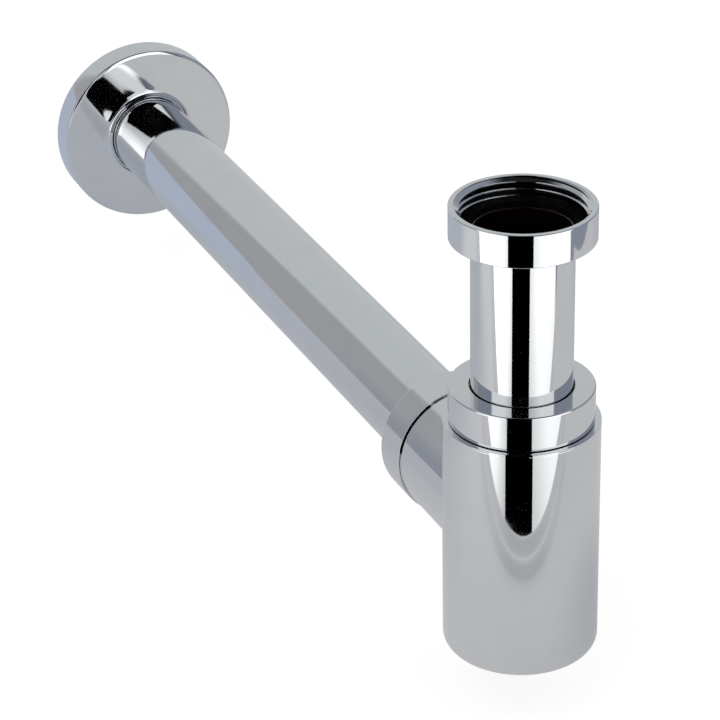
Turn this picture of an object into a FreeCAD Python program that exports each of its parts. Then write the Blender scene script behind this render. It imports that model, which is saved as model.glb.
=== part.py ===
"""A chromed brass basin trap: a bottle trap hung under a basin by its union nut, with a pipe to the wall.

The water comes down the inlet tube, rises in the bottle round it and leaves by the side outlet.
The frame's origin is the centre of the union's sealing face. +Z points up out of the union nut
and +Y runs along the outlet pipe to the wall. Sizes are in millimetres.
"""
import FreeCAD, Part
import Sketcher
import math
import os

SIZES = {
    # Inlet tube, with a flange formed on its top end
    "InletTubeDiameter": 32.0,
    "InletTubeWall": 0.9,
    "DipTubeStandoff": 8.4,
    "FlangeWidth": 3.2,
    "FlangeThickness": 1.0,
    "FlangeRound": 0.4,
    # Flat washer between the flange and the basin waste
    "WasherClearance": 0.755,
    "WasherBoreStep": 0.5,
    "WasherThickness": 2.0,
    # Union nut: on a 32 mm tube its thread comes to the 41.91 mm of G 1 1/4
    "UnionNutWall": 1.795,
    "UnionNutHeight": 10.7,
    "UnionLip": 1.7,
    "UnionThreadDepth": 1.48,
    "UnionLeadIn": 1.2,
    "UnionEdge": 0.4,
    "UnionHoleClearance": 0.3,
    "FlangeClearance": 0.275,
    # Bottle, wider than its side outlet by a step all round
    "BottleDrop": 66.7,
    "BottleStep": 2.8,
    "BottleHeight": 81.4,
    "BottleWall": 2.6,
    "BottomRound": 3.8,
    "ShoulderRound": 0.8,
    "ShoulderThickness": 3.4,
    "OutletHeight": 47.2,
    # Top neck and the nut, slip ring and cone seal on it
    "TopBoreClearance": 0.3,
    "TopSeatWidth": 2.75,
    "TopSeatDepth": 4.0,
    "TopNeckRim": 1.9,
    "TopNeckLength": 7.2,
    "TopNutWall": 1.95,
    "TopSealCollar": 1.4,
    "TopNutPlate": 2.2,
    "TopNutRound": 0.9,
    "TopNutHoleClearance": 0.45,
    "TopSlipRingThickness": 1.0,
    # Side outlet and the nut, slip ring and cone seal on it
    "StubStep": 1.15,
    "StubLength": 18.5,
    "SaddleFillet": 1.2,
    "OutletBoreClearance": 0.3,
    "OutletSeatWidth": 2.75,
    "OutletSeatDepth": 4.0,
    "OutletNeckRim": 1.9,
    "OutletNeckLength": 9.0,
    "OutletNutWall": 1.7,
    "OutletSealCollar": 1.5,
    "OutletNutPlate": 2.2,
    "OutletNutRound": 0.8,
    "OutletNutHoleClearance": 0.4,
    "OutletSlipRingThickness": 1.0,
    # What both compression joints share
    "SeamGap": 0.3,
    "ThreadClearance": 0.1,
    "ThreadLead": 0.5,
    "RingClearance": 0.6,
    "SealClearance": 0.05,
    # Outlet pipe and the stop inside the bottle's outlet
    "OutletPipeDiameter": 32.0,
    "OutletPipeWall": 0.9,
    "PipeBehindWall": 15.6,
    "PipeBevel": 0.3,
    "PipeStopInset": 2.1,
    "PipeStopGap": 7.0,
    "PipeStopStep": 1.1,
    # Clean-out plug in the bottle's underside
    "PlugSeatStep": 1.8,
    "PlugHeight": 8.0,
    "PlugSkin": 1.7,
    "PlugWall": 1.6,
    "PlugClearance": 0.1,
    "PlugEdge": 0.3,
    "SlotMargin": 7.4,
    "SlotWidth": 3.2,
    "SlotDepth": 1.9,
    "PlugRingSection": 1.6,
    "PlugRingHeight": 1.4,
    "ChamberStep": 1.0,
    # Wall rosette and its rubber ring
    "WallReach": 348.4,
    "RosetteDiameter": 71.4,
    "RosetteDepth": 11.4,
    "RosetteWall": 1.0,
    "RosetteRound": 1.3,
    "RosetteHoleClearance": 0.35,
    "RosetteLipProud": 0.7,
    "RosetteLipThickness": 1.0,
    "RosetteNeckLength": 4.4,
    "RosetteRingSection": 1.6,
}

SAME_PLACE = 1e-3
QUARTER_TURN = math.pi / 2

doc = FreeCAD.newDocument("BasinTrap")
sheet = doc.addObject("Spreadsheet::Sheet", "Sizes")
for row, (alias, value) in enumerate(SIZES.items(), start=1):
    sheet.set(f"A{row}", alias)
    sheet.set(f"B{row}", str(value))
    sheet.setAlias(f"B{row}", alias)
doc.recompute()


def size(alias):
    """The expression that reads one size of the sheet."""
    return f"Sizes.{alias}"


def half(alias):
    """The expression of the radius that belongs to a diameter of the sheet."""
    return f"(Sizes.{alias} / 2)"


def number(expression):
    """The value of an expression in millimetres."""
    return float(sheet.evalExpression(str(expression)))


def new_body(label, z="0", y="0", along_y=False):
    """A named body whose own Z axis is its turning axis, placed at y and z of the trap's frame.

    along_y lays the body down, so that its Z axis runs along the trap's +Y.
    """
    body = doc.addObject("PartDesign::Body", label)
    body.Label = label
    if along_y:
        turn = FreeCAD.Rotation(FreeCAD.Vector(1, 0, 0), -90)
        body.Placement = FreeCAD.Placement(FreeCAD.Vector(0, 0, 0), turn)
    body.setExpression(".Placement.Base.y", y)
    body.setExpression(".Placement.Base.z", z)
    return body


def origin_plane(body, role):
    """One of the body's own origin planes."""
    return next(f for f in body.Origin.OriginFeatures if f.Role == role)


def new_sketch(body, name, role="YZ_Plane"):
    """A sketch on one of the body's origin planes."""
    sketch = body.newObject("Sketcher::SketchObject", name)
    sketch.AttachmentSupport = (origin_plane(body, role), [""])
    sketch.MapMode = "FlatFace"
    return sketch


def bind(sketch, kind, first, second, expression):
    """A dimension from the sketch's origin to a point, or of a curve, that follows an expression."""
    if second is None:
        index = sketch.addConstraint(Sketcher.Constraint(kind, first, number(expression)))
    else:
        index = sketch.addConstraint(Sketcher.Constraint(kind, -1, 1, first, second, number(expression)))
    sketch.setExpression(f"Constraints[{index}]", expression)


def outline(sketch, points):
    """A closed outline of straight lines whose corners follow (across, up) expressions."""
    places = [FreeCAD.Vector(number(across), number(up), 0) for across, up in points]
    count = len(points)
    for i in range(count):
        sketch.addGeometry(Part.LineSegment(places[i], places[(i + 1) % count]))
    for i in range(count):
        sketch.addConstraint(Sketcher.Constraint("Coincident", i, 2, (i + 1) % count, 1))
    for i, (across, up) in enumerate(points):
        for kind, expression, axis in (("DistanceX", across, -2), ("DistanceY", up, -1)):
            if expression == "0":
                sketch.addConstraint(Sketcher.Constraint("PointOnObject", i, 1, axis))
            else:
                bind(sketch, kind, i, 1, expression)


def turned(body, name, points, cut=False, axis="V_Axis"):
    """A turned form, or a turned cut, from an outline of (radius, height) expressions."""
    sketch = new_sketch(body, f"{name}Outline")
    outline(sketch, points)
    kind = "PartDesign::Groove" if cut else "PartDesign::Revolution"
    feature = body.newObject(kind, name)
    feature.Profile = sketch
    feature.ReferenceAxis = (sketch, [axis])
    feature.Angle = 360.0
    doc.recompute()
    return feature


def ring_edges(feature, radius, height):
    """The names of the circles of one radius at one height along the body's axis."""
    found = []
    for i, edge in enumerate(feature.Shape.Edges, start=1):
        if not isinstance(edge.Curve, Part.Circle):
            continue
        same_radius = abs(edge.Curve.Radius - number(radius)) < SAME_PLACE
        same_height = abs(edge.Curve.Center.z - number(height)) < SAME_PLACE
        if same_radius and same_height:
            found.append(f"Edge{i}")
    return found


def rounded(body, name, base, edges, radius):
    """A fillet on named edges of the body's last feature."""
    fillet = body.newObject("PartDesign::Fillet", name)
    fillet.Base = (base, edges)
    fillet.setExpression("Radius", radius)
    doc.recompute()
    return fillet


def rubber_ring(label, radius, section, **place):
    """A round rubber ring whose section's centre runs at a radius, at the body's origin."""
    body = new_body(label, **place)
    sketch = new_sketch(body, f"{label}_section")
    middle = FreeCAD.Vector(number(radius), 0, 0)
    sketch.addGeometry(Part.Circle(middle, FreeCAD.Vector(0, 0, 1), number(section) / 2))
    sketch.addConstraint(Sketcher.Constraint("PointOnObject", 0, 3, -1))
    bind(sketch, "DistanceX", 0, 3, radius)
    bind(sketch, "Diameter", 0, None, section)
    ring = body.newObject("PartDesign::Revolution", f"{label}_round")
    ring.Profile = sketch
    ring.ReferenceAxis = (sketch, ["V_Axis"])
    ring.Angle = 360.0
    return body


# Radii that several pieces share, each from what it fits round or in
INLET_R = half("InletTubeDiameter")
INLET_INSIDE_R = f"({INLET_R} - {size('InletTubeWall')})"
FLANGE_R = f"({INLET_R} + {size('FlangeWidth')})"
UNION_CORE_R = f"({FLANGE_R} + {size('FlangeClearance')})"
UNION_THREAD_R = f"({UNION_CORE_R} + {size('UnionThreadDepth')})"
TOP_BORE_R = f"({INLET_R} + {size('TopBoreClearance')})"
TOP_NECK_R = f"({TOP_BORE_R} + {size('TopSeatWidth')} + {size('TopNeckRim')})"
PIPE_R = half("OutletPipeDiameter")
OUTLET_BORE_R = f"({PIPE_R} + {size('OutletBoreClearance')})"
OUTLET_NECK_R = f"({OUTLET_BORE_R} + {size('OutletSeatWidth')} + {size('OutletNeckRim')})"
STUB_R = f"({OUTLET_NECK_R} + {size('StubStep')})"
BOTTLE_R = f"({STUB_R} + {size('BottleStep')})"
CHAMBER_R = f"({BOTTLE_R} - {size('BottleWall')})"
PLUG_BORE_R = f"({CHAMBER_R} - {size('PlugSeatStep')})"

# Heights and reaches in the trap's frame
FLANGE_TOP = f"(-{size('WasherThickness')})"
UNION_LIP_TOP = f"({FLANGE_TOP} - {size('FlangeThickness')})"
SHOULDER = f"(-{size('BottleDrop')})"
UNDERSIDE = f"({SHOULDER} - {size('BottleHeight')})"
OUTLET_AXIS = f"({UNDERSIDE} + {size('OutletHeight')})"
PLUG_FLOOR = f"({size('SlotDepth')} + {size('PlugSkin')})"
STUB_END = f"({BOTTLE_R} + {size('StubLength')})"
PIPE_STOP = f"({BOTTLE_R} + {size('PipeStopInset')})"
PIPE_START = f"({PIPE_STOP} + {size('PipeStopGap')})"


def inlet_tube():
    """The tube from the union down into the bottle: its lower end dips under the outlet.

    Its own origin is the top face of its flange, and it hangs down from there.
    """
    body = new_body("inlet_tube", z=FLANGE_TOP)
    end = f"({UNDERSIDE} + {PLUG_FLOOR} + {size('DipTubeStandoff')} - {FLANGE_TOP})"
    tube = turned(body, "InletTube", [
        (INLET_INSIDE_R, "0"),
        (FLANGE_R, "0"),
        (FLANGE_R, f"-{size('FlangeThickness')}"),
        (INLET_R, f"-{size('FlangeThickness')}"),
        (INLET_R, end),
        (INLET_INSIDE_R, end),
    ])
    rounded(body, "FlangeEdge", tube, ring_edges(tube, FLANGE_R, "0"), size("FlangeRound"))
    return body


def inlet_washer():
    """The flat rubber washer on the flange: its top is the trap's sealing face."""
    body = new_body("inlet_washer", z=FLANGE_TOP)
    bore = f"({INLET_INSIDE_R} + {size('WasherBoreStep')})"
    outside = f"({UNION_THREAD_R} - {size('WasherClearance')})"
    turned(body, "Washer", [
        (bore, "0"),
        (outside, "0"),
        (outside, size("WasherThickness")),
        (bore, size("WasherThickness")),
    ])
    return body


def union_nut():
    """The plain round nut that hangs the trap: lip, relief for the washer, thread core and lead-in."""
    body = new_body("inlet_union_nut", z=UNION_LIP_TOP)
    outside = f"({UNION_THREAD_R} + {size('UnionNutWall')})"
    hole = f"({INLET_R} + {size('UnionHoleClearance')})"
    top = f"({size('UnionNutHeight')} - {size('UnionLip')})"
    bottom = f"(-{size('UnionLip')})"
    seal = f"({size('FlangeThickness')} + {size('WasherThickness')})"
    nut = turned(body, "UnionNut", [
        (hole, bottom),
        (outside, bottom),
        (outside, top),
        (UNION_THREAD_R, top),
        (UNION_CORE_R, f"{top} - {size('UnionLeadIn')}"),
        (UNION_CORE_R, seal),
        (UNION_THREAD_R, seal),
        (UNION_THREAD_R, "0"),
        (hole, "0"),
    ])
    edges = ring_edges(nut, outside, bottom) + ring_edges(nut, outside, top)
    rounded(body, "UnionEdges", nut, edges, size("UnionEdge"))
    return body


def bottle_body():
    """The bottle: a turned shell with a threaded neck on top and a threaded side outlet.

    Its own origin is where the bottle's axis meets the outlet's axis.
    """
    body = new_body("bottle_body", z=OUTLET_AXIS)
    bottom = f"(-{size('OutletHeight')})"
    shoulder = f"({size('BottleHeight')} - {size('OutletHeight')})"
    neck_top = f"({shoulder} + {size('TopNeckLength')})"
    lead = size("ThreadLead")
    shell = turned(body, "BottleShell", [
        ("0", bottom),
        (BOTTLE_R, bottom),
        (BOTTLE_R, shoulder),
        (TOP_NECK_R, shoulder),
        (TOP_NECK_R, f"{neck_top} - {lead}"),
        (f"{TOP_NECK_R} - {lead}", neck_top),
        ("0", neck_top),
    ])
    edge = rounded(body, "BottomRound", shell, ring_edges(shell, BOTTLE_R, bottom), size("BottomRound"))
    edge = rounded(body, "ShoulderRound", edge, ring_edges(edge, BOTTLE_R, shoulder), size("ShoulderRound"))

    neck_end = f"({STUB_END} + {size('OutletNeckLength')})"
    spout = turned(body, "OutletStub", [
        ("0", "0"),
        (neck_end, "0"),
        (neck_end, f"{OUTLET_NECK_R} - {lead}"),
        (f"{neck_end} - {lead}", OUTLET_NECK_R),
        (STUB_END, OUTLET_NECK_R),
        (STUB_END, STUB_R),
        ("0", STUB_R),
    ], axis="H_Axis")
    saddle = rounded(body, "Saddle", spout, saddle_edges(spout), size("SaddleFillet"))

    plug_top = f"({bottom} + {size('PlugHeight')} + {size('ChamberStep')})"
    widening = f"({CHAMBER_R} - {PLUG_BORE_R})"
    ceiling = f"({shoulder} - {size('ShoulderThickness')})"
    before = saddle.Shape.Volume
    hollow = turned(body, "Chamber", [
        ("0", bottom),
        (PLUG_BORE_R, bottom),
        (PLUG_BORE_R, plug_top),
        (CHAMBER_R, f"{plug_top} + {widening}"),
        (CHAMBER_R, ceiling),
        (TOP_BORE_R, ceiling),
        (TOP_BORE_R, f"{neck_top} - {size('TopSeatDepth')}"),
        (f"{TOP_BORE_R} + {size('TopSeatWidth')}", neck_top),
        ("0", neck_top),
    ], cut=True)
    assert hollow.Shape.Volume < before

    stop_r = f"({PIPE_R} - {size('PipeStopStep')})"
    before = hollow.Shape.Volume
    waterway = turned(body, "OutletBore", [
        ("0", "0"),
        ("0", stop_r),
        (PIPE_STOP, stop_r),
        (PIPE_STOP, OUTLET_BORE_R),
        (f"{neck_end} - {size('OutletSeatDepth')}", OUTLET_BORE_R),
        (neck_end, f"{OUTLET_BORE_R} + {size('OutletSeatWidth')}"),
        (neck_end, "0"),
    ], cut=True, axis="H_Axis")
    assert waterway.Shape.Volume < before
    return body


def saddle_edges(feature):
    """The names of the edges where the stub's side meets the bottle's side."""
    found = []
    for i, edge in enumerate(feature.Shape.Edges, start=1):
        middle = edge.valueAt((edge.FirstParameter + edge.LastParameter) / 2)
        on_bottle = abs(math.hypot(middle.x, middle.y) - number(BOTTLE_R)) < SAME_PLACE
        on_stub = abs(math.hypot(middle.x, middle.z) - number(STUB_R)) < SAME_PLACE
        if on_bottle and on_stub:
            found.append(f"Edge{i}")
    return found


def seal_top(joint):
    """How far a cone seal's collar stands past the seam: its neck's length and its own thickness."""
    return f"({size(joint + 'NeckLength')} + {size(joint + 'SealCollar')})"


def slip_ring_top(joint):
    """How far a slip ring, which lies on the seal's collar, stands past the seam."""
    return f"({seal_top(joint)} + {size(joint + 'SlipRingThickness')})"


def compression_nut(joint, tube, neck, **place):
    """A plain round nut over a threaded neck. Its own origin is the seam, and it is open there."""
    label = f"{joint.lower()}_nut"
    body = new_body(label, **place)
    thread = f"({neck} + {size('ThreadClearance')})"
    outside = f"({thread} + {size(joint + 'NutWall')})"
    hole = f"({tube} + {size(joint + 'NutHoleClearance')})"
    first = size("SeamGap")
    inside = slip_ring_top(joint)
    last = f"({inside} + {size(joint + 'NutPlate')})"
    nut = turned(body, f"{label}_turned", [
        (thread, first),
        (outside, first),
        (outside, last),
        (hole, last),
        (hole, inside),
        (thread, inside),
    ])
    rounded(body, f"{label}_edge", nut, ring_edges(nut, outside, last), size(joint + "NutRound"))
    return body


def slip_ring(joint, bore, neck, **place):
    """The flat ring under a nut's plate, which keeps the turning nut from dragging the seal."""
    label = f"{joint.lower()}_slip_ring"
    body = new_body(label, **place)
    top = slip_ring_top(joint)
    foot = seal_top(joint)
    outside = f"({neck} - {size('RingClearance')})"
    turned(body, f"{label}_turned", [
        (bore, foot),
        (outside, foot),
        (outside, top),
        (bore, top),
    ])
    return body


def cone_seal(joint, tube, bore, neck, **place):
    """The rubber cone seal: its taper sits in the neck's seat and its collar is pressed by the nut."""
    label = f"{joint.lower()}_seal"
    body = new_body(label, **place)
    gap = size("SealClearance")
    top = seal_top(joint)
    neck_end = size(joint + "NeckLength")
    foot = f"({neck_end} - {size(joint + 'SeatDepth')})"
    outside = f"({neck} - {size('RingClearance')})"
    inside = f"({tube} + {gap})"
    turned(body, f"{label}_turned", [
        (inside, foot),
        (f"{bore} - {gap}", foot),
        (f"{bore} + {size(joint + 'SeatWidth')} - {gap}", neck_end),
        (outside, neck_end),
        (outside, top),
        (inside, top),
    ])
    return body


def compression_joint(joint, tube, bore, neck, **place):
    """The nut, slip ring and seal that hold a tube in the bottle's top or in its outlet."""
    return [
        compression_nut(joint, tube, neck, **place),
        slip_ring(joint, bore, neck, **place),
        cone_seal(joint, tube, bore, neck, **place),
    ]


def outlet_pipe():
    """The straight pipe from the bottle's outlet to the drain in the wall, bevelled at both ends."""
    body = new_body("outlet_pipe", y=PIPE_START, z=OUTLET_AXIS, along_y=True)
    bore = f"({PIPE_R} - {size('OutletPipeWall')})"
    end = f"({size('WallReach')} + {size('PipeBehindWall')} - {PIPE_START})"
    bevel = size("PipeBevel")
    turned(body, "OutletPipe", [
        (bore, "0"),
        (f"{PIPE_R} - {bevel}", "0"),
        (PIPE_R, bevel),
        (PIPE_R, f"{end} - {bevel}"),
        (f"{PIPE_R} - {bevel}", end),
        (bore, end),
    ])
    return body


def wall_rosette():
    """The pressed cover over the hole in the wall: a shallow dish, open behind, with a lipped neck.

    Its own origin is the wall, with the dish standing out to its -Z side.
    """
    body = new_body("wall_rosette", y=size("WallReach"), z=OUTLET_AXIS, along_y=True)
    outer = half("RosetteDiameter")
    wall = size("RosetteWall")
    front = f"(-{size('RosetteDepth')})"
    hole = f"({PIPE_R} + {size('RosetteHoleClearance')})"
    ring_room = f"({PIPE_R} + {size('RosetteRingSection')} + 2 * {size('SealClearance')})"
    lip = f"({front} - {size('RosetteLipProud')})"
    lip_back = f"({lip} + {size('RosetteLipThickness')})"
    neck_end = f"({front} + {size('RosetteNeckLength')})"
    dish = turned(body, "Rosette", [
        (outer, "0"),
        (outer, front),
        (f"{ring_room} + {wall}", front),
        (f"{ring_room} + {wall}", lip),
        (hole, lip),
        (hole, lip_back),
        (ring_room, lip_back),
        (ring_room, neck_end),
        (f"{ring_room} + {wall}", neck_end),
        (f"{ring_room} + {wall}", f"{front} + {wall}"),
        (f"{outer} - {wall}", f"{front} + {wall}"),
        (f"{outer} - {wall}", "0"),
    ])
    edge = rounded(body, "RosetteEdge", dish, ring_edges(dish, outer, front), size("RosetteRound"))
    lip_edge = ring_edges(edge, f"{ring_room} + {wall}", lip)
    rounded(body, "LipEdge", edge, lip_edge, f"{size('RosetteLipProud')} / 2")
    return body


def rosette_ring():
    """The rubber ring behind the rosette's lip, which grips the pipe."""
    centre = f"({PIPE_R} + {size('SealClearance')} + {size('RosetteRingSection')} / 2)"
    lip_back = f"{size('RosetteDepth')} + {size('RosetteLipProud')} - {size('RosetteLipThickness')}"
    middle = f"{size('WallReach')} - ({lip_back}) + {size('RosetteRingSection')} / 2"
    section = size("RosetteRingSection")
    return rubber_ring("rosette_ring", centre, section, y=middle, z=OUTLET_AXIS, along_y=True)


def cleanout_plug():
    """The screwed cup that closes the bottle's underside, with a groove for its ring and a coin slot."""
    body = new_body("cleanout_plug", z=UNDERSIDE)
    outside = f"({PLUG_BORE_R} - {size('PlugClearance')})"
    inside = f"({outside} - {size('PlugWall')} - {size('PlugRingSection')})"
    edge = size("PlugEdge")
    groove_floor = f"({PLUG_BORE_R} - {size('PlugRingSection')} - 2 * {size('SealClearance')})"
    groove_foot = f"({size('PlugRingHeight')} - {size('SealClearance')})"
    groove_top = f"({size('PlugRingHeight')} + {size('PlugRingSection')} + {size('SealClearance')})"
    cup = turned(body, "Plug", [
        ("0", "0"),
        (f"{outside} - {edge}", "0"),
        (outside, edge),
        (outside, groove_foot),
        (groove_floor, groove_foot),
        (groove_floor, groove_top),
        (outside, groove_top),
        (outside, size("PlugHeight")),
        (inside, size("PlugHeight")),
        (inside, PLUG_FLOOR),
        ("0", PLUG_FLOOR),
    ])
    before = cup.Shape.Volume
    slot = coin_slot(body, outside)
    assert slot.Shape.Volume < before
    return body


def coin_slot(body, outside):
    """The round-ended slot across the plug's underside, cut upwards, with a margin to the plug's side."""
    sketch = new_sketch(body, "SlotOutline", role="XY_Plane")
    reach = f"({outside} - {size('SlotMargin')} - {size('SlotWidth')} / 2)"
    radius = f"({size('SlotWidth')} / 2)"
    x = number(reach)
    r = number(radius)
    up = FreeCAD.Vector(0, 0, 1)
    right_end = Part.Circle(FreeCAD.Vector(x, 0, 0), up, r)
    left_end = Part.Circle(FreeCAD.Vector(-x, 0, 0), up, r)
    sketch.addGeometry(Part.LineSegment(FreeCAD.Vector(-x, -r, 0), FreeCAD.Vector(x, -r, 0)))
    sketch.addGeometry(Part.ArcOfCircle(right_end, -QUARTER_TURN, QUARTER_TURN))
    sketch.addGeometry(Part.LineSegment(FreeCAD.Vector(x, r, 0), FreeCAD.Vector(-x, r, 0)))
    sketch.addGeometry(Part.ArcOfCircle(left_end, QUARTER_TURN, 3 * QUARTER_TURN))
    for line, line_end, arc, arc_end in ((0, 2, 1, 1), (2, 1, 1, 2), (2, 2, 3, 1), (0, 1, 3, 2)):
        sketch.addConstraint(Sketcher.Constraint("Tangent", line, line_end, arc, arc_end))
    sketch.addConstraint(Sketcher.Constraint("PointOnObject", 1, 3, -1))
    sketch.addConstraint(Sketcher.Constraint("PointOnObject", 3, 3, -1))
    bind(sketch, "DistanceX", 1, 3, reach)
    bind(sketch, "DistanceX", 3, 3, f"-{reach}")
    bind(sketch, "Radius", 1, None, radius)
    pocket = body.newObject("PartDesign::Pocket", "CoinSlot")
    pocket.Profile = sketch
    pocket.Reversed = True
    pocket.setExpression("Length", size("SlotDepth"))
    doc.recompute()
    return pocket


def cleanout_oring():
    """The rubber ring in the plug's groove, which seals against the bottle's bore."""
    centre = f"({PLUG_BORE_R} - {size('SealClearance')} - {size('PlugRingSection')} / 2)"
    middle = f"{UNDERSIDE} + {size('PlugRingHeight')} + {size('PlugRingSection')} / 2"
    return rubber_ring("cleanout_oring", centre, size("PlugRingSection"), z=middle)


pieces = [inlet_tube(), inlet_washer(), union_nut(), bottle_body()]
pieces += compression_joint("Top", INLET_R, TOP_BORE_R, TOP_NECK_R, z=SHOULDER)
pieces += compression_joint("Outlet", PIPE_R, OUTLET_BORE_R, OUTLET_NECK_R,
                            y=STUB_END, z=OUTLET_AXIS, along_y=True)
pieces += [outlet_pipe(), wall_rosette(), rosette_ring(), cleanout_plug(), cleanout_oring()]
doc.recompute()

for item in doc.Objects:
    if "Invalid" in item.State or "Error" in item.State:
        raise RuntimeError(f"{item.Label} failed: {item.State}")
for piece in pieces:
    shape = piece.Shape
    if shape.isNull() or not shape.isValid() or len(shape.Solids) != 1:
        raise RuntimeError(f"{piece.Label} is not one valid solid")

os.makedirs("parts", exist_ok=True)
for piece in pieces:
    piece.Shape.exportStep(f"parts/{piece.Label}.step")
    box = piece.Shape.BoundBox
    reach = f"y {box.YMin:.2f} to {box.YMax:.2f}, z {box.ZMin:.2f} to {box.ZMax:.2f}"
    print(f"{piece.Label}: {piece.Shape.Volume:.0f} cubic mm, x {box.XMin:.2f} to {box.XMax:.2f}, {reach}")
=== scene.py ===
"""The finished look of the chromed basin trap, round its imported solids, and the studio it stands in."""
import logging
import math
from dataclasses import dataclass, field
from enum import Enum
from typing import Any, Callable, Sequence

import bmesh
import bpy
from mathutils import Matrix, Vector


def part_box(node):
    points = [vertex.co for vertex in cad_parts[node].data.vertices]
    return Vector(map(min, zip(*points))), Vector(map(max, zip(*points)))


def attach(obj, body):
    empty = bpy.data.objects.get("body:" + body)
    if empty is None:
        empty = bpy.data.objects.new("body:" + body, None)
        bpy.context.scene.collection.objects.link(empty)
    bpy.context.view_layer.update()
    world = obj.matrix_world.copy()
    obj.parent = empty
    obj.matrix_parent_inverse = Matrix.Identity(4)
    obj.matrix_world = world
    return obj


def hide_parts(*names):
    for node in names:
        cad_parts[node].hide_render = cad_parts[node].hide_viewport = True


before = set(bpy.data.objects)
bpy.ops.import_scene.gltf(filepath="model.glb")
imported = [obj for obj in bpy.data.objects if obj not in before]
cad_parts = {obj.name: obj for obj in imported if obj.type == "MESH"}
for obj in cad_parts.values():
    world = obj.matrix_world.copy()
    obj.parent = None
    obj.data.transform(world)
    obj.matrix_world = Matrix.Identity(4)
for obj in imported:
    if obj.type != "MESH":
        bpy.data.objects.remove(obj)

logging.basicConfig(level=logging.INFO, format="%(message)s")
log = logging.getLogger("basin_trap")

MM = 0.001
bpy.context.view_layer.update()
MERGE_REACH = 0.002 * MM
SMOOTH_ANGLE = 35.0
Colour = tuple[float, float, float, float]
Span = tuple[float, float]


class Line(Enum):
    """The two lines that the trap's pieces are turned about."""

    INLET = "the vertical line of the inlet and the bottle"
    OUTLET = "the level line of the outlet pipe"


class Sock:
    """A shader socket. Arithmetic on it adds Math nodes."""

    def __init__(self, shader: "Shader", socket: bpy.types.NodeSocket) -> None:
        """Keeps the socket and the shader that it belongs to."""
        self.shader = shader
        self.socket = socket

    def _math(self, operation: str, first: Any, second: Any = 0.0) -> "Sock":
        """Adds one Math node.

        Args:
            operation: Blender's name for the operation.
            first: The first socket or number.
            second: The second socket or number.

        Returns:
            The node's output.
        """
        return self.shader.node("ShaderNodeMath", {"operation": operation}, {0: first, 1: second})

    def __add__(self, other: Any) -> "Sock":
        """self + other."""
        return self._math("ADD", self, other)

    __radd__ = __add__

    def __sub__(self, other: Any) -> "Sock":
        """self - other."""
        return self._math("SUBTRACT", self, other)

    def __rsub__(self, other: Any) -> "Sock":
        """other - self."""
        return self._math("SUBTRACT", other, self)

    def __neg__(self) -> "Sock":
        """-self."""
        return 0.0 - self

    def __abs__(self) -> "Sock":
        """abs(self)."""
        return self._math("ABSOLUTE", self)

    def __mul__(self, other: Any) -> "Sock":
        """self * other."""
        return self._math("MULTIPLY", self, other)

    __rmul__ = __mul__

    def __truediv__(self, other: Any) -> "Sock":
        """self / other."""
        return self._math("DIVIDE", self, other)

    def __rtruediv__(self, other: Any) -> "Sock":
        """other / self."""
        return self._math("DIVIDE", other, self)

    def __pow__(self, other: Any) -> "Sock":
        """self ** other."""
        return self._math("POWER", self, other)

    def __rpow__(self, other: Any) -> "Sock":
        """other ** self."""
        return self._math("POWER", other, self)


@dataclass(frozen=True)
class Grain:
    """How fine a noise is: its scale, its detail and its roughness."""

    scale: float
    detail: float = 2.0
    roughness: float = 0.5


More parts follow.
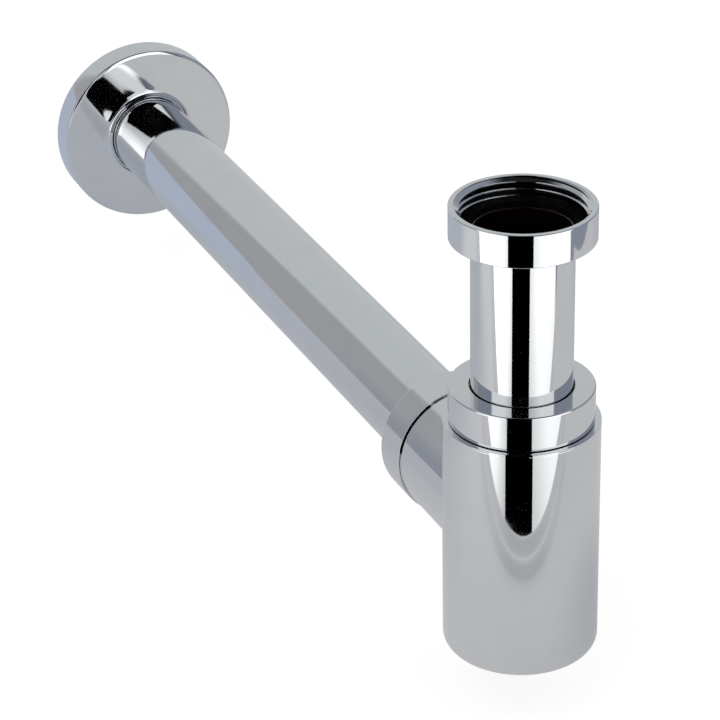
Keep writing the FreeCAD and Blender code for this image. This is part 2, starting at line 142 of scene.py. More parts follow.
class Shader:
    """A node tree that is written as expressions."""

    def __init__(self, tree: bpy.types.NodeTree) -> None:
        """Takes and empties the node tree of a material or of the world."""
        self.tree = tree
        tree.nodes.clear()

    def node(self, kind: str, settings: dict[str, Any] | None = None,
             inputs: dict[int | str, Any] | None = None, output: int | str = 0) -> Sock:
        """Adds one node.

        Args:
            kind: The node's type.
            settings: Its own settings. "stops" sets a ramp's places and colours.
            inputs: The value or the linked socket of each input.
            output: Which of its outputs is wanted.

        Returns:
            That output.
        """
        made = self.tree.nodes.new(kind)
        for name, value in (settings or {}).items():
            if name == "stops":
                self._set_stops(made.color_ramp, value)
            else:
                setattr(made, name, value)
        for name, value in (inputs or {}).items():
            if isinstance(value, Sock):
                self.tree.links.new(value.socket, made.inputs[name])
            else:
                made.inputs[name].default_value = value
        return Sock(self, made.outputs[output])

    @staticmethod
    def _set_stops(ramp: bpy.types.ColorRamp, stops: Sequence[tuple[float, Colour]]) -> None:
        """Sets a ramp's stops.

        Args:
            ramp: The ramp, which has two stops at first.
            stops: The place and the colour of each stop, two or more.
        """
        while len(ramp.elements) < len(stops):
            ramp.elements.new(1.0)
        for element, (place, colour) in zip(ramp.elements, stops):
            element.position = place
            element.color = colour

    def end(self, kind: str, surface: Sock) -> None:
        """Links a surface to the tree's output node."""
        target = self.tree.nodes.new(kind)
        self.tree.links.new(surface.socket, target.inputs["Surface"])

    def place(self) -> Sock:
        """A piece's own coordinates, in metres."""
        return self.node("ShaderNodeTexCoord", output="Object")

    def split(self, vector: Sock) -> tuple[Sock, Sock, Sock]:
        """The three parts of a vector."""
        parts = self.node("ShaderNodeSeparateXYZ", inputs={0: vector}).socket.node
        return tuple(Sock(self, out) for out in parts.outputs)

    def noise(self, vector: Sock, grain: Grain) -> Sock:
        """Noise of a given grain, from 0 to 1."""
        return self.node("ShaderNodeTexNoise", inputs={
            "Vector": vector, "Scale": grain.scale, "Detail": grain.detail, "Roughness": grain.roughness})

    def rise(self, value: Any, start: float, end: float) -> Sock:
        """0 below start, 1 above end, and smooth between them."""
        settings = {"interpolation_type": "SMOOTHSTEP", "clamp": True}
        return self.node("ShaderNodeMapRange", settings, {"Value": value, "From Min": start, "From Max": end})

    def mix(self, factor: Any, first: Any, second: Any) -> Sock:
        """A colour between two others."""
        settings = {"data_type": "RGBA", "clamp_factor": True}
        return self.node("ShaderNodeMix", settings, {0: factor, 6: first, 7: second}, 2)

    def bump(self, height: Sock, depth: float, normal: Sock | None = None) -> Sock:
        """Adds a Bump node.

        Args:
            height: The height, from 0 to 1.
            depth: What a height of 1 stands for, in metres.
            normal: The normal that it changes, or None for the surface's own.

        Returns:
            The changed normal.
        """
        inputs = {"Strength": 1.0, "Distance": depth, "Height": height}
        if normal is not None:
            inputs["Normal"] = normal
        return self.node("ShaderNodeBump", inputs=inputs)

    def glow(self, colour: Any, strength: float = 1.0) -> Sock:
        """A surface that shines by itself."""
        return self.node("ShaderNodeEmission", inputs={"Color": colour, "Strength": strength})


def new_material(name: str) -> tuple[bpy.types.Material, Shader]:
    """Makes a material and its shader.

    Args:
        name: The material's name.

    Returns:
        The material and its emptied node tree.
    """
    made = bpy.data.materials.new(name)
    made.use_nodes = True
    return made, Shader(made.node_tree)


@dataclass(frozen=True)
class Bore:
    """The inside of a tube, which the plating doesn't reach. Its near-black colour there is partly painted
    shade.
    """

    line: Line
    radius: float = 15.3 * MM
    axis_height: float = 0.0
    fade: float = 0.2 * MM

    def mask(self, shader: Shader) -> Sock:
        """Finds the bore.

        Args:
            shader: The shader that the mask is made in.

        Returns:
            1 on the bore, 0 outside it.
        """
        x, y, z = shader.split(shader.place())
        across = y if self.line is Line.INLET else z - self.axis_height
        distance = (x * x + across * across) ** 0.5
        return 1.0 - shader.rise(distance, self.radius, self.radius + self.fade)


@dataclass(frozen=True)
class PolishedChrome:
    """Bright chrome plate on polished brass: nearly a mirror, with a faint roll, haze and dust."""

    name: str = "polished_chrome"
    bright: Colour = (0.80, 0.81, 0.825, 1.0)
    hazed: Colour = (0.77, 0.78, 0.80, 1.0)
    # Bare brass for the bore, darkened to near black: partly its own colour, partly painted shade inside the
    # tube.
    brass: Colour = (0.030, 0.014, 0.010, 1.0)
    roughness: float = 0.03
    haze: float = 0.035
    haze_grain: Grain = Grain(60.0, 3.0, 0.6)
    haze_span: Span = (0.45, 0.75)
    roll_grain: Grain = Grain(28.0, 1.0)
    roll_depth: float = 1.2e-5
    dust: float = 0.03
    dust_roughness: float = 0.05
    dust_grain: Grain = Grain(2300.0, 1.0)
    dust_span: Span = (0.72, 0.84)
    dust_depth: float = 1.5e-6
    bore_roughness: float = 0.35
    bore: Bore | None = None

    def material(self) -> bpy.types.Material:
        """Makes the chrome, with dull bare brass in the bore if there is one, darkened to near black as
        painted shade.

        Returns:
            The material.
        """
        made, shader = new_material(self.name)
        place = shader.place()
        haze = shader.rise(shader.noise(place, self.haze_grain), *self.haze_span)
        specks = shader.rise(shader.noise(place, self.dust_grain), *self.dust_span)
        colour = shader.mix(haze, self.bright, self.hazed)
        roughness = haze * self.haze + specks * self.dust_roughness + self.roughness
        metallic = 1.0 - specks * self.dust
        if self.bore is not None:
            # The bore: bare brass, made near black by painted shade.
            inside = self.bore.mask(shader)
            colour = shader.mix(inside, colour, self.brass)
            roughness = roughness + inside * self.bore_roughness
        roll = shader.bump(shader.noise(place, self.roll_grain), self.roll_depth)
        normal = shader.bump(specks, self.dust_depth, roll)
        surface = shader.node("ShaderNodeBsdfPrincipled", inputs={
            "Base Color": colour, "Metallic": metallic, "Roughness": roughness, "Normal": normal})
        shader.end("ShaderNodeOutputMaterial", surface)
        return made


@dataclass(frozen=True)
class BlackRubber:
    """Moulded black rubber with a fine matt skin."""

    name: str = "black_rubber"
    dark: Colour = (0.0015, 0.0015, 0.0016, 1.0)
    dusty: Colour = (0.004, 0.004, 0.0042, 1.0)
    bloom_grain: Grain = Grain(240.0, 4.0, 0.6)
    bloom_span: Span = (0.4, 0.8)
    roughness: float = 0.5
    bloom_roughness: float = 0.15
    sheen: float = 0.01
    skin_grain: Grain = Grain(3800.0)
    skin_depth: float = 2e-5

    def material(self) -> bpy.types.Material:
        """Makes the rubber.

        Returns:
            The material.
        """
        made, shader = new_material(self.name)
        place = shader.place()
        bloom = shader.rise(shader.noise(place, self.bloom_grain), *self.bloom_span)
        surface = shader.node("ShaderNodeBsdfPrincipled", inputs={
            "Base Color": shader.mix(bloom, self.dark, self.dusty),
            "Roughness": bloom * self.bloom_roughness + self.roughness,
            "Specular IOR Level": self.sheen,
            "Normal": shader.bump(shader.noise(place, self.skin_grain), self.skin_depth)})
        shader.end("ShaderNodeOutputMaterial", surface)
        return made


@dataclass(frozen=True)
class WhiteNylon:
    """Moulded white nylon, slightly warm, with a fine sheen."""

    name: str = "white_nylon"
    light: Colour = (0.80, 0.79, 0.75, 1.0)
    warm: Colour = (0.76, 0.74, 0.69, 1.0)
    flow_grain: Grain = Grain(130.0, 3.0)
    roughness: float = 0.34
    flow_roughness: float = 0.12
    skin_grain: Grain = Grain(2600.0)
    skin_depth: float = 1e-5

    def material(self) -> bpy.types.Material:
        """Makes the nylon.

        Returns:
            The material.
        """
        made, shader = new_material(self.name)
        place = shader.place()
        flow = shader.noise(place, self.flow_grain)
        surface = shader.node("ShaderNodeBsdfPrincipled", inputs={
            "Base Color": shader.mix(flow, self.light, self.warm),
            "Roughness": flow * self.flow_roughness + self.roughness,
            "Normal": shader.bump(shader.noise(place, self.skin_grain), self.skin_depth)})
        shader.end("ShaderNodeOutputMaterial", surface)
        return made


@dataclass(frozen=True)
class Corner:
    """A corner of a turned outline: its radius and height, and how far it is rounded."""

    radius: float
    height: float
    round: float = 0.0


def soften(corners: Sequence[Corner], steps: int = 6, guard: float = 0.04 * MM) -> list[tuple[float, float]]:
    """Rounds the corners of a closed outline.

    Args:
        corners: The outline's corners, in order.
        steps: Into how many straight runs an arc is cut.
        guard: How far before and after an arc a further point keeps the flat beside it flat.

    Returns:
        The points of the outline as (radius, height).
    """
    points: list[tuple[float, float]] = []
    for index, corner in enumerate(corners):
        here = Vector((corner.radius, corner.height))
        if corner.round == 0.0:
            points.append(tuple(here))
            continue
        before, after = corners[index - 1], corners[(index + 1) % len(corners)]
        back = (Vector((before.radius, before.height)) - here).normalized()
        on = (Vector((after.radius, after.height)) - here).normalized()
        half = back.angle(on) / 2
        reach = corner.round / math.tan(half)
        centre = here + (back + on).normalized() * (corner.round / math.sin(half))
        first, last = here + back * reach - centre, here + on * reach - centre
        points.append(tuple(here + back * (reach + guard)))
        for step in range(steps + 1):
            points.append(tuple(centre + first.slerp(last, step / steps) * corner.round))
        points.append(tuple(here + on * (reach + guard)))
    return points


def finish_mesh(piece: bpy.types.Object, angle: float = SMOOTH_ANGLE) -> None:
    """Merges what meets, turns the faces outwards and shades the piece smooth.

    Args:
        piece: The piece.
        angle: The largest angle, in degrees, that is still shaded smooth.
    """
    bpy.context.view_layer.objects.active = piece
    bpy.ops.object.mode_set(mode="EDIT")
    bpy.ops.mesh.select_all(action="SELECT")
    bpy.ops.mesh.remove_doubles(threshold=MERGE_REACH)
    bpy.ops.mesh.normals_make_consistent(inside=False)
    bpy.ops.object.mode_set(mode="OBJECT")
    bpy.ops.object.select_all(action="DESELECT")
    piece.select_set(True)
    bpy.ops.object.shade_smooth_by_angle(angle=math.radians(angle))


def turned(name: str, outline: Sequence[tuple[float, float]], sides: int = 180) -> bpy.types.Object:
    """Turns a closed outline about the Z axis by extruding one ring after another.

    Args:
        name: The piece's name.
        outline: Its points as (radius, height), in order.
        sides: Into how many sides a turn is cut.

    Returns:
        The piece.
    """
    bpy.ops.object.select_all(action="DESELECT")
    radius, height = outline[0]
    bpy.ops.mesh.primitive_circle_add(vertices=sides, radius=radius, enter_editmode=True)
    bpy.ops.transform.translate(value=(0.0, 0.0, height))
    for next_radius, next_height in [*outline[1:], outline[0]]:
        bpy.ops.mesh.extrude_region_move(TRANSFORM_OT_translate={"value": (0.0, 0.0, next_height - height)})
        ratio = next_radius / radius
        bpy.ops.transform.resize(value=(ratio, ratio, 1.0), center_override=(0.0, 0.0, next_height))
        radius, height = next_radius, next_height
    bpy.ops.object.mode_set(mode="OBJECT")
    piece = bpy.context.object
    piece.name = piece.data.name = name
    finish_mesh(piece)
    return piece


def lay_on_outlet(piece: bpy.types.Object, axis_height: float) -> None:
    """Lays a piece that was turned about Z along the outlet's line, and applies it.

    Args:
        piece: The piece.
        axis_height: The height of the outlet's line.
    """
    bpy.ops.object.select_all(action="DESELECT")
    piece.select_set(True)
    bpy.context.view_layer.objects.active = piece
    piece.rotation_euler = (-math.pi / 2, 0.0, 0.0)
    piece.location = (0.0, 0.0, axis_height)
    bpy.ops.object.transform_apply(location=True, rotation=True, scale=True)


def combine(piece: bpy.types.Object, other: bpy.types.Object, operation: str) -> None:
    """Joins another solid to a piece, or keeps only what both hold, and removes the other.

    Args:
        piece: The solid that is changed.
        other: The solid that it is combined with.
        operation: Blender's name for the way of combining them.
    """
    bpy.ops.object.select_all(action="DESELECT")
    bpy.context.view_layer.objects.active = piece
    piece.select_set(True)
    step = piece.modifiers.new("combine", "BOOLEAN")
    step.operation = operation
    step.solver = "EXACT"
    step.object = other
    bpy.ops.object.modifier_apply(modifier=step.name)
    bpy.data.objects.remove(other)


def put_in_place(piece: bpy.types.Object, node: str, body: str,
                 material: bpy.types.Material) -> None:
    """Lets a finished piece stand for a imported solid.

    Args:
        piece: The finished piece.
        node: The solid that it stands for.
        body: The body that it moves with.
        material: Its finish.
    """
    piece.data.materials.clear()
    piece.data.materials.append(material)
    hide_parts(node)
    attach(piece, body)
    low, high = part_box(node)
    corners = [Vector(corner) for corner in piece.bound_box]
    off = max(abs(min(c[axis] for c in corners) - low[axis]) for axis in range(3))
    off = max(off, *(abs(max(c[axis] for c in corners) - high[axis]) for axis in range(3)))
    log.info("%s: %d faces, box within %.2f mm of the solid's",
             piece.name, len(piece.data.polygons), off / MM)


def dress(node: str, material: bpy.types.Material) -> None:
    """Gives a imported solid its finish.

    Args:
        node: The solid's name.
        material: Its finish.
    """
    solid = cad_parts[node]
    solid.data.materials.clear()
    solid.data.materials.append(material)
    log.info("%s: dressed in %s", node, material.name)


def select_where(piece: bpy.types.Object, test: Callable[[Vector], bool]) -> None:
    """Selects, in edit mode, only the vertices whose place passes a test.

    Args:
        piece: The piece that is being edited.
        test: Says whether a place is wanted.
    """
    bpy.ops.mesh.select_all(action="DESELECT")
    mesh = bmesh.from_edit_mesh(piece.data)
    for vertex in mesh.verts:
        vertex.select = test(vertex.co)
    mesh.select_flush(True)
    bmesh.update_edit_mesh(piece.data)


@dataclass
class PipeThread:
    """A parallel pipe thread of 55 degrees, as a ridge inside a nut."""

    major: float = 20.955 * MM
    pitch: float = 2.309 * MM
    depth: float = 1.48 * MM
    crest: float = 0.36 * MM
    root: float = 0.34 * MM
    crest_round: float = 0.14 * MM
    round_steps: int = 3
    sunk: float = 0.3 * MM
    steps: int = 144

    def ridge(self, name: str, bottom: float, turns: int, start: float) -> bpy.types.Object:
        """Winds the ridge round the Z axis.

        Args:
            name: The piece's name.
            bottom: The height of its first crest.
            turns: How many turns it has.
            start: The angle round Z of its first crest, in radians.

        Returns:
            The closed ridge, whose foot is sunk into the nut's wall.
        """
        foot = self.major + self.sunk
        tip = self.major - self.depth
        slope = (self.pitch - self.root - self.crest) / 2 / self.depth
        half_foot = self.crest / 2 + slope * (foot - tip)
        bpy.ops.object.select_all(action="DESELECT")
        bpy.ops.mesh.primitive_plane_add(size=1.0, rotation=(math.pi / 2, 0.0, 0.0))
        piece = bpy.context.object
        piece.name = piece.data.name = name
        piece.scale = (foot - tip, 2 * half_foot, 1.0)
        piece.location = ((foot + tip) / 2, 0.0, bottom)
        bpy.ops.object.transform_apply(location=True, rotation=True, scale=True)
        bpy.ops.object.mode_set(mode="EDIT")
        select_where(piece, lambda place: place.x < tip + self.crest)
        narrowing = self.crest / (2 * half_foot)
        bpy.ops.transform.resize(value=(1.0, 1.0, narrowing), center_override=(tip, 0.0, bottom))
        bpy.ops.mesh.bevel(offset=self.crest_round, segments=self.round_steps, affect="VERTICES")
        bpy.ops.mesh.select_all(action="SELECT")
        bpy.ops.mesh.delete(type="ONLY_FACE")
        bpy.ops.object.mode_set(mode="OBJECT")
        wind = piece.modifiers.new("wind", "SCREW")
        wind.axis = "Z"
        wind.screw_offset = self.pitch
        wind.iterations = turns
        wind.steps = wind.render_steps = self.steps
        bpy.ops.object.modifier_apply(modifier=wind.name)
        bpy.ops.object.mode_set(mode="EDIT")
        bpy.ops.mesh.select_all(action="DESELECT")
        bpy.ops.mesh.select_non_manifold(extend=False, use_wire=False, use_multi_face=False,
                                         use_non_contiguous=False, use_verts=False)
        bpy.ops.mesh.fill_holes(sides=0)
        bpy.ops.object.mode_set(mode="OBJECT")
        piece.rotation_euler = (0.0, 0.0, start)
        bpy.ops.object.transform_apply(location=True, rotation=True, scale=True)
        finish_mesh(piece)
        return piece


@dataclass
class Union:
    """The inlet: union nut with its pipe thread, flat washer and flanged tube."""

    radius: float = 22.75 * MM
    top: float = 6.0 * MM
    bottom: float = -4.7 * MM
    edge: float = 0.35 * MM
    mouth_edge: float = 0.12 * MM
    lip_top: float = -3.0 * MM
    lip_root: float = 0.3 * MM
    hole: float = 16.3 * MM
    hole_top_edge: float = 0.2 * MM
    hole_bottom_edge: float = 0.25 * MM
    lead_in_depth: float = 1.3 * MM
    lead_in_top: float = 0.15 * MM
    lead_in_margin: float = 0.02 * MM
    crest_margin: float = 0.1 * MM
    first_crest: float = -0.19 * MM
    crest_angle: float = math.radians(66.5)
    turns: int = 4
    smooth_angle: float = 30.0
    thread: PipeThread = field(default_factory=PipeThread)
    washer_bore: float = 15.6 * MM
    washer_radius: float = 20.2 * MM
    washer_thickness: float = 2.0 * MM
    washer_edge: float = 0.25 * MM
    tube_radius: float = 16.0 * MM
    tube_wall: float = 0.9 * MM
    tube_end: float = -136.1 * MM
    tube_end_edge: float = 0.3 * MM
    tube_bore_edge: float = 0.2 * MM
    flange_radius: float = 19.2 * MM
    flange_root: float = 0.25 * MM
    flange_low_edge: float = 0.2 * MM
    flange_high_edge: float = 0.3 * MM
    flange_mouth: float = 0.5 * MM

    def build(self, chrome: bpy.types.Material, plated_tube: bpy.types.Material,
              rubber: bpy.types.Material) -> None:
        """Builds and dresses the three pieces.

        Args:
            chrome: The nut's finish.
            plated_tube: The tube's finish.
            rubber: The washer's finish.
        """
        put_in_place(self._nut(), "inlet_union_nut", "union_nut", chrome)
        put_in_place(self._washer(), "inlet_washer", "inlet", rubber)
        put_in_place(self._tube(), "inlet_tube", "inlet", plated_tube)

    def _nut(self) -> bpy.types.Object:
        """Turns the nut and joins the thread's ridge to its bore.

        Returns:
            The nut.
        """
        major = self.thread.major
        nut = turned("union_nut_threaded", soften([
            Corner(self.radius, self.bottom, self.edge), Corner(self.radius, self.top, self.edge),
            Corner(major, self.top, self.mouth_edge), Corner(major, self.lip_top, self.lip_root),
            Corner(self.hole, self.lip_top, self.hole_top_edge),
            Corner(self.hole, self.bottom, self.hole_bottom_edge)]))
        ridge = self.thread.ridge("union_thread", self.first_crest, self.turns, self.crest_angle)
        outer = major + self.thread.sunk / 2
        inner = major - self.thread.depth - self.crest_margin
        lead_in = self.top - self.lead_in_top
        envelope = turned("union_thread_envelope", [
            (outer, 0.0), (outer, lead_in), (major + self.lead_in_margin, lead_in),
            (inner, self.top - self.lead_in_depth), (inner, 0.0)])
        combine(ridge, envelope, "INTERSECT")
        combine(nut, ridge, "UNION")
        finish_mesh(nut, self.smooth_angle)
        return nut

    def _washer(self) -> bpy.types.Object:
        """Turns the flat washer, whose upper face seals.

        Returns:
            The washer.
        """
        low, edge = -self.washer_thickness, self.washer_edge
        return turned("union_washer", soften([
            Corner(self.washer_radius, low, edge), Corner(self.washer_radius, 0.0, edge),
            Corner(self.washer_bore, 0.0, edge), Corner(self.washer_bore, low, edge)]))

    def _tube(self) -> bpy.types.Object:
        """Turns the tube, with the flange that it hangs by.

        Returns:
            The tube.
        """
        flange_top = -self.washer_thickness
        inside = self.tube_radius - self.tube_wall
        return turned("inlet_tube_flanged", soften([
            Corner(self.tube_radius, self.tube_end, self.tube_end_edge),
            Corner(self.tube_radius, self.lip_top, self.flange_root),
            Corner(self.flange_radius, self.lip_top, self.flange_low_edge),
            Corner(self.flange_radius, flange_top, self.flange_high_edge),
            Corner(inside, flange_top, self.flange_mouth),
            Corner(inside, self.tube_end, self.tube_bore_edge)]))


@dataclass
class CompressionNut:
    """A plain round nut that presses a slip ring and a cone seal round a tube."""

    name: str
    node: str
    body: str
    radius: float
    start: float
    end: float
    hole: float
    bore: float = 21.05 * MM
    plate: float = 2.2 * MM
    near_edge: float = 0.12 * MM
    far_edge: float = 0.5 * MM
    hole_edge: float = 0.25 * MM
    seat_edge: float = 0.1 * MM
    bore_edge: float = 0.3 * MM

    def build(self, chrome: bpy.types.Material, axis_height: float | None = None) -> None:
        """Builds and dresses the nut.

        Args:
            chrome: Its finish.
            axis_height: The height of the outlet's line, for the nut on the outlet.
        """
        seat = self.end - self.plate
        nut = turned(self.name, soften([
            Corner(self.radius, self.start, self.near_edge), Corner(self.radius, self.end, self.far_edge),
            Corner(self.hole, self.end, self.hole_edge), Corner(self.hole, seat, self.seat_edge),
            Corner(self.bore, seat, self.bore_edge), Corner(self.bore, self.start, self.bore_edge)]))
        if axis_height is not None:
            lay_on_outlet(nut, axis_height)
        put_in_place(nut, self.node, self.body, chrome)


@dataclass
class Shoulder:
    """The crisp step round the bottle's neck, which the top nut turns above."""

    radius: float = 24.88 * MM
    inside: float = 21.3 * MM
    top: float = -66.72 * MM
    depth: float = 1.6 * MM
    edge: float = 0.12 * MM

    def build(self, chrome: bpy.types.Material) -> None:
        """Builds and dresses the step, which belongs to the bottle.

        Args:
            chrome: Its finish.
        """
        low = self.top - self.depth
        step = turned("bottle_shoulder", soften([
            Corner(self.radius, low), Corner(self.radius, self.top, self.edge),
            Corner(self.inside, self.top), Corner(self.inside, low)]))
        step.data.materials.append(chrome)
        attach(step, "bottle")
        log.info("%s: %d faces", step.name, len(step.data.polygons))


@dataclass
class WasteArm:
    """The outlet pipe and the rosette at the wall. Slopes are in degrees."""

    axis_height: float
    pipe_radius: float = 16.0 * MM
    pipe_wall: float = 0.9 * MM
    pipe_start: float = 34.0 * MM
    pipe_end: float = 364.0 * MM
    pipe_edge: float = 0.3 * MM
    pipe_bore_edge: float = 0.2 * MM
    rosette_radius: float = 35.7 * MM
    wall_plane: float = 348.4 * MM
    face_front: float = 336.6 * MM
    face_rise: float = 0.35 * MM
    edge_round: float = 0.45 * MM
    edge_slope: float = 18.0
    edge_steps: int = 9
    slope_round: float = 5.4 * MM
    slope_steps: int = 8
    face_slope: float = 3.0
    face_power: float = 2.0
    lip_front: float = 335.9 * MM
    lip_hole: float = 16.15 * MM
    lip_wall: float = 0.9 * MM
    lip_steps: int = 8
    fillet: float = 1.6 * MM
    fillet_steps: int = 6
    sheet: float = 1.0 * MM
    neck_radius: float = 18.7 * MM
    neck_end: float = 341.4 * MM
    neck_root: float = 0.6 * MM
    dome_rings: int = 10

    def build(self, chrome: bpy.types.Material, plated_pipe: bpy.types.Material) -> None:
        """Builds and dresses both pieces.

        Args:
            chrome: The rosette's finish.
            plated_pipe: The pipe's finish.
        """
        inside = self.pipe_radius - self.pipe_wall
        pipe = turned("outlet_pipe_straight", soften([
            Corner(self.pipe_radius, self.pipe_start, self.pipe_edge),
            Corner(self.pipe_radius, self.pipe_end, self.pipe_edge),
            Corner(inside, self.pipe_end, self.pipe_bore_edge),
            Corner(inside, self.pipe_start, self.pipe_bore_edge)]))
        lay_on_outlet(pipe, self.axis_height)
        put_in_place(pipe, "outlet_pipe", "pipe", plated_pipe)
        rosette = turned("wall_rosette_pressed", self._rosette_outline())
        lay_on_outlet(rosette, self.axis_height)
        put_in_place(rosette, "wall_rosette", "rosette", chrome)

    def _rosette_outline(self) -> list[tuple[float, float]]:
        """Draws the pressed dish: side wall, edge, sloped round, face, fillet and lip; then its inside.

        Returns:
            The points of the outline as (radius, height).
        """
        outside = [(self.rosette_radius, self.wall_plane)]
        steep, flat = math.radians(self.edge_slope), math.radians(self.face_slope)
        step = self.slope_round * (math.cos(flat) - math.cos(steep))
        edge_height = self.face_front + self.face_rise + step + self.edge_round * math.cos(steep)
        edge_radius = self.rosette_radius - self.edge_round
        outside += self._arc(edge_radius, edge_height, self.edge_round,
                             0.0, self.edge_slope - 90.0, self.edge_steps)
        inward = self.slope_round - self.edge_round
        outside += self._arc(edge_radius - inward * math.sin(steep), edge_height + inward * math.cos(steep),
                             self.slope_round, self.edge_slope - 90.0, self.face_slope - 90.0,
                             self.slope_steps)[1:]
        outer_radius, outer_height = outside[-1]
        lip_outer = self.lip_hole + self.lip_wall
        foot = lip_outer + self.fillet
        for ring in range(1, self.dome_rings + 1):
            share = ring / self.dome_rings
            radius = outer_radius + (foot - outer_radius) * share
            fall = (outer_height - self.face_front) * (1.0 - (1.0 - share) ** self.face_power)
            outside.append((radius, outer_height - fall))
        outside += self._arc(foot, self.face_front - self.fillet, self.fillet,
                             90.0, 180.0, self.fillet_steps)[1:]
        outside += self._arc(lip_outer - self.lip_wall / 2, self.lip_front + self.lip_wall / 2,
                             self.lip_wall / 2, 0.0, -180.0, self.lip_steps)
        seat = self.face_front + self.sheet
        neck_inner = self.neck_radius - self.sheet
        side_inner = self.rosette_radius - self.sheet
        inside = [(self.lip_hole, seat), (neck_inner, seat), (neck_inner, self.neck_end),
                  (self.neck_radius, self.neck_end), (self.neck_radius, seat + self.neck_root),
                  (edge_radius - self.sheet, edge_height - self.edge_round + self.sheet),
                  (side_inner, edge_height + self.sheet), (side_inner, self.wall_plane)]
        return outside + inside

    @staticmethod
    def _arc(radius: float, height: float, size: float, start: float, end: float,
             steps: int) -> list[tuple[float, float]]:
        """Draws an arc of the outline.

        Args:
            radius: The radius of its centre.
            height: The height of its centre.
            size: Its own radius.
            start: Where it starts, in degrees from the outward direction.
            end: Where it ends, in degrees from the outward direction.
            steps: Into how many straight runs it is cut.

        Returns:
            Its points as (radius, height).
        """
        turns = [math.radians(start + (end - start) * step / steps) for step in range(steps + 1)]
        return [(radius + size * math.cos(turn), height + size * math.sin(turn)) for turn in turns]


def grey(red: float, green: float | None = None, blue: float | None = None) -> Colour:
    """A colour from its linear parts, or a plain grey from one."""
    return (red, red if green is None else green, red if blue is None else blue, 1.0)


def glossy_sheet(name: str, corners: Sequence[Vector], material: bpy.types.Material) -> bpy.types.Object:
    """A flat sheet that only the chrome shows.

    Args:
        name: Its name.
        corners: Its corners, in order.
        material: Its finish.

    Returns:
        The sheet.
    """
    bpy.ops.object.select_all(action="DESELECT")
    bpy.ops.mesh.primitive_circle_add(vertices=len(corners), fill_type="NGON")
    sheet = bpy.context.object
    sheet.name = sheet.data.name = name
    for vertex, corner in zip(sheet.data.vertices, corners):
        vertex.co = corner
    sheet.data.update()
    sheet.data.materials.append(material)
    for ray in ("camera", "diffuse", "shadow", "transmission", "volume_scatter"):
        setattr(sheet, f"visible_{ray}", False)
    return sheet


@dataclass(frozen=True)
class Panel:
    """An upright white card at the camera's side, which only the chrome shows. It glows: painted light."""

    name: str
    inner: Span
    outer: Span
    inner_dim: float = 0.62
    inner_start: float = -0.03
    inner_reach: float = 0.13
    outer_dim: float = 0.62
    outer_reach: float = 0.03
    low: float = -0.75
    high: float = 0.20
    lowest_stop: float = -0.26
    highest_stop: float = 0.10
    brightest: float = 1.6
    levels: tuple[Span, ...] = (
        (0.0, 0.62), (0.153, 0.71), (0.233, 0.78), (0.342, 0.94), (0.45, 1.0), (0.64, 1.0), (0.86, 0.60))
    tint: Colour = grey(0.985, 1.0, 0.995)

    def build(self) -> bpy.types.Object:
        """Builds the glowing card, painted brightest a little above the table's level and dimmer towards its
        sides.

        Returns:
            The card.
        """
        made, shader = new_material(self.name)
        x, y, z = shader.split(shader.place())
        span = self.highest_stop - self.lowest_stop
        stops = [(level, grey(bright)) for level, bright in self.levels]
        strength = shader.node("ShaderNodeValToRGB", {"stops": stops}, {0: (z - self.lowest_stop) / span})
        inner, outer = Vector(self.inner), Vector(self.outer)
        along = (outer - inner).normalized()
        reach = (x - inner.x) * along.x + (y - inner.y) * along.y
        width = (outer - inner).length
        start = shader.rise(reach, self.inner_start, self.inner_reach)
        start = start * (1.0 - self.inner_dim) + self.inner_dim
        end = shader.rise(reach, width - self.outer_reach, width) * (1.0 - self.outer_dim)
        # Painted light: the card's glow, by height and dimmer towards its sides.
        shown = shader.mix(strength * start * (1.0 - end), grey(0.0), self.tint)
        shader.end("ShaderNodeOutputMaterial", shader.glow(shown, self.brightest))
        return glossy_sheet(self.name, [
            Vector((*self.inner, self.low)), Vector((*self.outer, self.low)),
            Vector((*self.outer, self.high)), Vector((*self.inner, self.high))], made)


@dataclass(frozen=True)
class Wall:
    """A part of the room round the trap, in degrees. Azimuth is 0 towards -Y and grows towards +X.

    Its sides are given at the level of the eye, and lean sideways by lean degrees for each degree
    of elevation.
    """

    colour: Colour
    left: float
    right: float
    high: float = 90.0
    high_soft: float = 4.0
    soft: float = 2.0
    lean: float = 0.0

    def mask(self, shader: Shader, azimuth: Sock, elevation: Sock) -> Sock:
        """Finds the wall.

        Args:
            shader: The shader that the mask is made in.
            azimuth: The azimuth that is looked in.
            elevation: The elevation that is looked in.

        Returns:
            1 on the wall, 0 off it.
        """
        across = azimuth - elevation * self.lean if self.lean else azimuth
        middle, half = (self.left + self.right) / 2, (self.right - self.left) / 2
        inside = 1.0 - shader.rise(abs(across - middle), half - self.soft, half + self.soft)
        if self.high < 90.0:
            over = shader.rise(elevation, self.high - self.high_soft, self.high + self.high_soft)
            inside = inside * (1.0 - over)
        return inside


@dataclass(frozen=True)
class PaintedShadow:
    """A painted shadow on the table, darkest at its middle."""

    x: float
    y: float
    reach: float
    share: float

    def mask(self, shader: Shader, x: Sock, y: Sock) -> Sock:
        """Its share at its middle, fading to 0 within its reach."""
        away = ((x - self.x) ** 2.0 + (y - self.y) ** 2.0) ** 0.5
        return (1.0 - shader.rise(away, 0.0, self.reach)) * self.share


